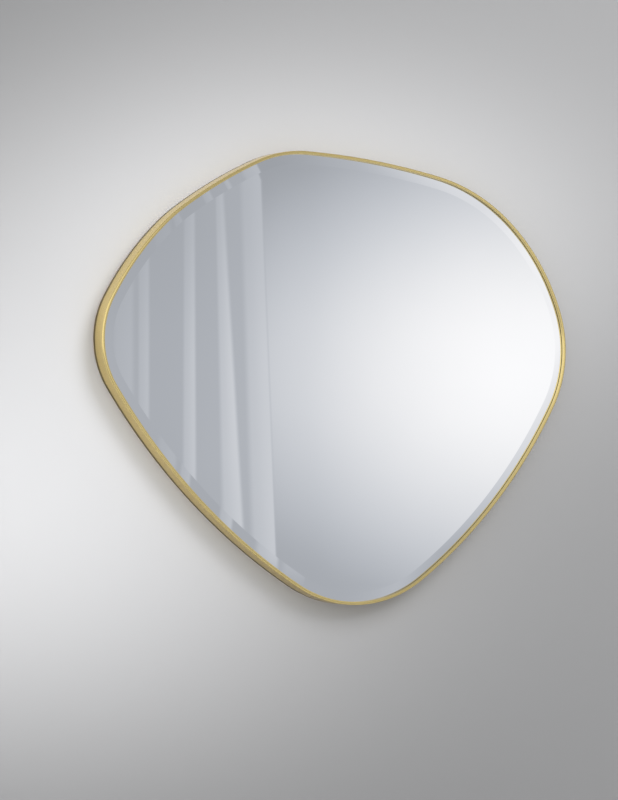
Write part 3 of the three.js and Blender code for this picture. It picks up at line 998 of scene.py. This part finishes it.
def wall_material():
    """A pale wall with two soft pools of light and a gradient painted into its colour; seen from behind it lets
    the view through.
    """
    sketch = Sketch("studio_wall")
    x, _, z = sketch.split(sketch.place())
    # Painted light: two soft pools and a gradient that brightens to the right and upwards, in the wall's
    # colour.
    left_painted_pool = sketch.bell((x + 0.66) / 0.68, (z + 0.43) / 0.41)
    upper_painted_pool = sketch.bell((x + 0.06) / 0.60, (z - 0.03) / 0.29)
    base = x.eased(-1.2, 1.2) * 0.14 + z.eased(-1.6, 1.2) * 0.06 + 0.244
    tone = left_painted_pool * 0.70 + upper_painted_pool * 0.475 + base
    paint = sketch.join(tone * 0.928, tone * 0.93, tone * 0.95)
    matt = sketch.node("ShaderNodeBsdfDiffuse", values={"Color": paint})
    clear = sketch.node("ShaderNodeBsdfTransparent")
    behind = sketch.node("ShaderNodeNewGeometry", output="Backfacing")
    sketch.finish(sketch.node("ShaderNodeMixShader", values={0: behind, 1: matt, 2: clear}))
    return sketch.material


def floor_material():
    """A pale floor; to the camera and in metal and glass it also glows pale, a painted light fading out near
    the wall.
    """
    sketch = Sketch("studio_floor")
    place = sketch.place()
    _, y, _ = sketch.split(place)
    paint = sketch.mix(sketch.noise(place, 3.0) * 0.2, (0.72, 0.72, 0.71), (0.78, 0.78, 0.77))
    # Painted light: the pale glow shows only away from the wall, so the floor is darker near it.
    away = 1.0 - y.eased(-4.0, -1.8)
    matt = sketch.node("ShaderNodeBsdfDiffuse", values={"Color": paint})
    pale = sketch.node("ShaderNodeEmission", values={"Color": (0.86, 0.86, 0.85)})
    share = sketch.seen() * away * 0.7
    sketch.finish(sketch.node("ShaderNodeMixShader", values={0: share, 1: matt, 2: pale}))
    return sketch.material


# The painted folds on the flat screen, from left to right: where the crisp edge is, its slant, the width of the
# rise before it, how the width grows with height, how crisp the edge is and how bright the fold
PAINTED_FOLDS = (
    (-1.76, 0.0, 0.22, 0.0, 0.03, 0.05),
    (-1.60, 0.0, 0.12, 0.0, 0.02, 0.09),
    (-1.135, -0.005, 0.14, -0.01, 0.02, 0.125),
    (-0.735, -0.06, 0.18, -0.045, 0.025, 0.155),
    (-0.39, -0.04, 0.26, -0.01, 0.015, 0.145),
)


def screen_material():
    """The glowing studio screen that the mirror shows: a flat sheet with a smooth painted light on one side
    and the painted light and shade of soft folds on the other.

    Its coordinates are hundreds of the picture's pixels, right and up from the picture's middle.
    """
    sketch = Sketch("studio_screen")
    x, y, _ = sketch.split(sketch.place())
    level = sketch.node("ShaderNodeClamp", values={"Value": y, "Min": -1.85, "Max": 2.3})
    glow = sketch.bell((x - 1.9) / 3.95, (level - 0.29) / 2.84)
    lit_corner = (x * 0.6 + y * 0.8).eased(2.55, 3.05)
    dim_corner = (x * 0.85 - y * 0.55).eased(2.15, 2.6)
    # Painted light of the smooth side: a soft glow with a lit and a dim corner.
    open_room = (glow * 0.895 + x * 0.039 + lit_corner * 0.13 - dim_corner * 0.13
                 - x.eased(-0.4, 0.1) * 0.02 - 0.013)
    smooth = open_room.calculate("SMOOTH_MAX", open_room, 0.395 - y * 0.01, 0.06)
    upper = y.eased(0.2, 2.2)
    fold_shading = x.eased(-1.6, -0.5) * 0.035 + 0.435 - upper * 0.035 - (y * -1.0).eased(0.4, 2.2) * 0.04
    fading = (1.0 - upper * 0.5) * y.eased(-2.3, -1.9)
    bent = y.above(2.2) * (y - 2.2) * 0.35
    # Painted light and shade: each fold brightens towards its crisp edge and falls dark past it.
    for edge, slant, width, spread, crisp, weight in PAINTED_FOLDS:
        past = x + bent - edge - y * slant
        full = y * spread + width
        share = (past + full) / full
        climb = share.eased(0.0, 0.3) * 0.6 + share.eased(0.2, 1.0) * 0.4
        fold_shading = climb * (1.0 - past.eased(-crisp, crisp)) * fading * weight + fold_shading
    folds_side = 1.0 - past.eased(-0.015, 0.02)
    tone = smooth * (1.0 - folds_side) + fold_shading * folds_side
    far_left = (x * -1.0).eased(2.5, 6.4)
    tone = (0.82 - tone) * far_left + tone
    tint = sketch.mix(tone.eased(0.40, 0.95), (0.905, 0.935, 1.0), (1.0, 0.985, 0.985))
    lit = sketch.node("ShaderNodeVectorMath", {"operation": "SCALE"}, {0: tint, 3: tone * 1.10})
    sketch.finish(sketch.node("ShaderNodeEmission", values={"Color": lit}))
    return sketch.material


class MIRROR_OT_studio(bpy.types.Operator):
    """Set up the wall, the floor, the lamps, the reflected screen and the world."""

    bl_idname = "mirror.studio"
    bl_label = "Studio"

    def execute(self, context):
        studio = context.scene.mirror_studio
        middle = outline_middle(studio)
        reach, floor_level, ceiling = 3.2, middle.z - 1.5, middle.z + 1.9
        wall_front, floor_reach, screen_reach = 0.4 * MM, 9, 7
        wall = self.sheet("studio_wall", wall_material(), [
            (-reach, wall_front, floor_level), (reach, wall_front, floor_level),
            (reach, wall_front, ceiling), (-reach, wall_front, ceiling)])
        wall.visible_shadow = False
        floor = self.sheet("studio_floor", floor_material(), self.square(floor_reach, floor_level))

        right, up, back = view_axes(studio.azimuth, studio.elevation)
        flip = Matrix.Diagonal((1, -1, 1))
        pane_front = Vector((0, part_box("mirror_glass")[0].y, 0))
        seen = studio.distance + studio.screen_distance
        per_hundred = seen * SENSOR_WIDTH / studio.lens / PICTURE_HEIGHT
        camera = context.scene.camera.matrix_world.translation
        axis_end = flip @ (camera - back * seen) + pane_front * 2
        axes = [flip @ direction * per_hundred for direction in (right, up, back)]
        screen = self.sheet("studio_screen", screen_material(), self.square(screen_reach, 0))
        screen.matrix_world = upright(axis_end, *axes)
        screen.visible_camera = screen.visible_diffuse = screen.visible_shadow = False

        key = self.lamp(context, "key", "SQUARE", 1.8, studio.key_power, middle, Vector((1.0, -2.3, 2.0)))
        key.visible_glossy = False
        self.lamp(context, "rear", "DISK", 0.5, studio.rear_power, middle, Vector((0, 1.8, 0)))
        self.world(context, studio)
        context.scene.view_settings.view_transform = "Standard"
        return {"FINISHED"}

    def square(self, reach, level):
        """The corners of a level square."""
        return [(x * reach, y * reach, level) for x, y in ((-1, -1), (1, -1), (1, 1), (-1, 1))]

    def sheet(self, name, finish, corners):
        """A flat four-cornered sheet of the stage."""
        sheet = new_object(name, new_mesh(name, corners, [(0, 1, 2, 3)]))
        sheet.data.materials.append(finish)
        return sheet

    def lamp(self, context, name, shape, size, power, target, offset):
        """A soft lamp set off from its target and pointed at it, which the camera doesn't see."""
        light = bpy.data.lights.new(name, "AREA")
        light.shape, light.size, light.energy = shape, size, power
        lamp = bpy.data.objects.new(name, light)
        lamp.location = target + offset
        lamp.rotation_euler = (-offset).to_track_quat("-Z", "Y").to_euler()
        lamp.visible_camera = False
        context.scene.collection.objects.link(lamp)
        return lamp

    def world(self, context, studio):
        """An even room with a wide window to the left, and plain pale to the camera."""
        world = bpy.data.worlds.new("studio_world")
        world.use_nodes = True
        context.scene.world = world
        sketch = Sketch("world", world.node_tree)
        x, y, z = sketch.split(sketch.node("ShaderNodeTexCoord", output="Generated"))
        level = (1.0 - z.eased(0.5, 0.95)) * (1.0 - (z * -1.0).eased(0.2, 0.7))
        window = (x * -0.8 - y * 0.6).eased(0.25, 0.85) * level
        room_tone = sketch.mix(z.eased(-0.6, 0.3), (0.62, 0.62, 0.61), (0.85, 0.85, 0.85))
        shade = sketch.mix(window, room_tone, (1.95, 1.95, 1.93))
        room = sketch.node("ShaderNodeBackground", values={"Color": shade, "Strength": studio.ambient})
        plain = sketch.node("ShaderNodeBackground", values={"Color": (0.78, 0.78, 0.78)})
        camera = sketch.node("ShaderNodeLightPath", output="Is Camera Ray")
        sketch.finish(sketch.node("ShaderNodeMixShader", values={0: camera, 1: room, 2: plain}),
                      "ShaderNodeOutputWorld")


class MIRROR_PT_panel(bpy.types.Panel):
    """The mirror's pieces and studio."""

    bl_idname = "MIRROR_PT_panel"
    bl_label = "Pebble Wall Mirror"
    bl_space_type = "VIEW_3D"
    bl_region_type = "UI"
    bl_category = "Mirror"

    def draw(self, context):
        for operator in OPERATORS:
            self.layout.operator(operator.bl_idname)
        for group in GROUPS:
            box = self.layout.box()
            box.label(text=group.__doc__)
            settings = getattr(context.scene, GROUPS[group])
            for name in group.__annotations__:
                box.prop(settings, name)


GROUPS = {
    FrameSizes: "mirror_frame",
    PaneSizes: "mirror_pane",
    HangerSizes: "mirror_hangers",
    Finishes: "mirror_finishes",
    Studio: "mirror_studio",
}
OPERATORS = (
    MIRROR_OT_frame_band,
    MIRROR_OT_pane,
    MIRROR_OT_backing,
    MIRROR_OT_sheet_metal,
    MIRROR_OT_rings,
    MIRROR_OT_screws,
    MIRROR_OT_bumpers,
    MIRROR_OT_camera,
    MIRROR_OT_studio,
)


def register():
    """Adds the settings, the operators and the panel."""
    for group, name in GROUPS.items():
        bpy.utils.register_class(group)
        setattr(bpy.types.Scene, name, PointerProperty(type=group))
    for operator in OPERATORS:
        bpy.utils.register_class(operator)
    bpy.utils.register_class(MIRROR_PT_panel)


def unregister():
    """Takes them away again."""
    bpy.utils.unregister_class(MIRROR_PT_panel)
    for operator in reversed(OPERATORS):
        bpy.utils.unregister_class(operator)
    for group, name in reversed(GROUPS.items()):
        delattr(bpy.types.Scene, name)
        bpy.utils.unregister_class(group)


def main():
    """Makes the pieces in order."""
    register()
    for operator in OPERATORS:
        getattr(bpy.ops.mirror, operator.bl_idname.removeprefix("mirror."))()


if __name__ == "__main__":
    main()
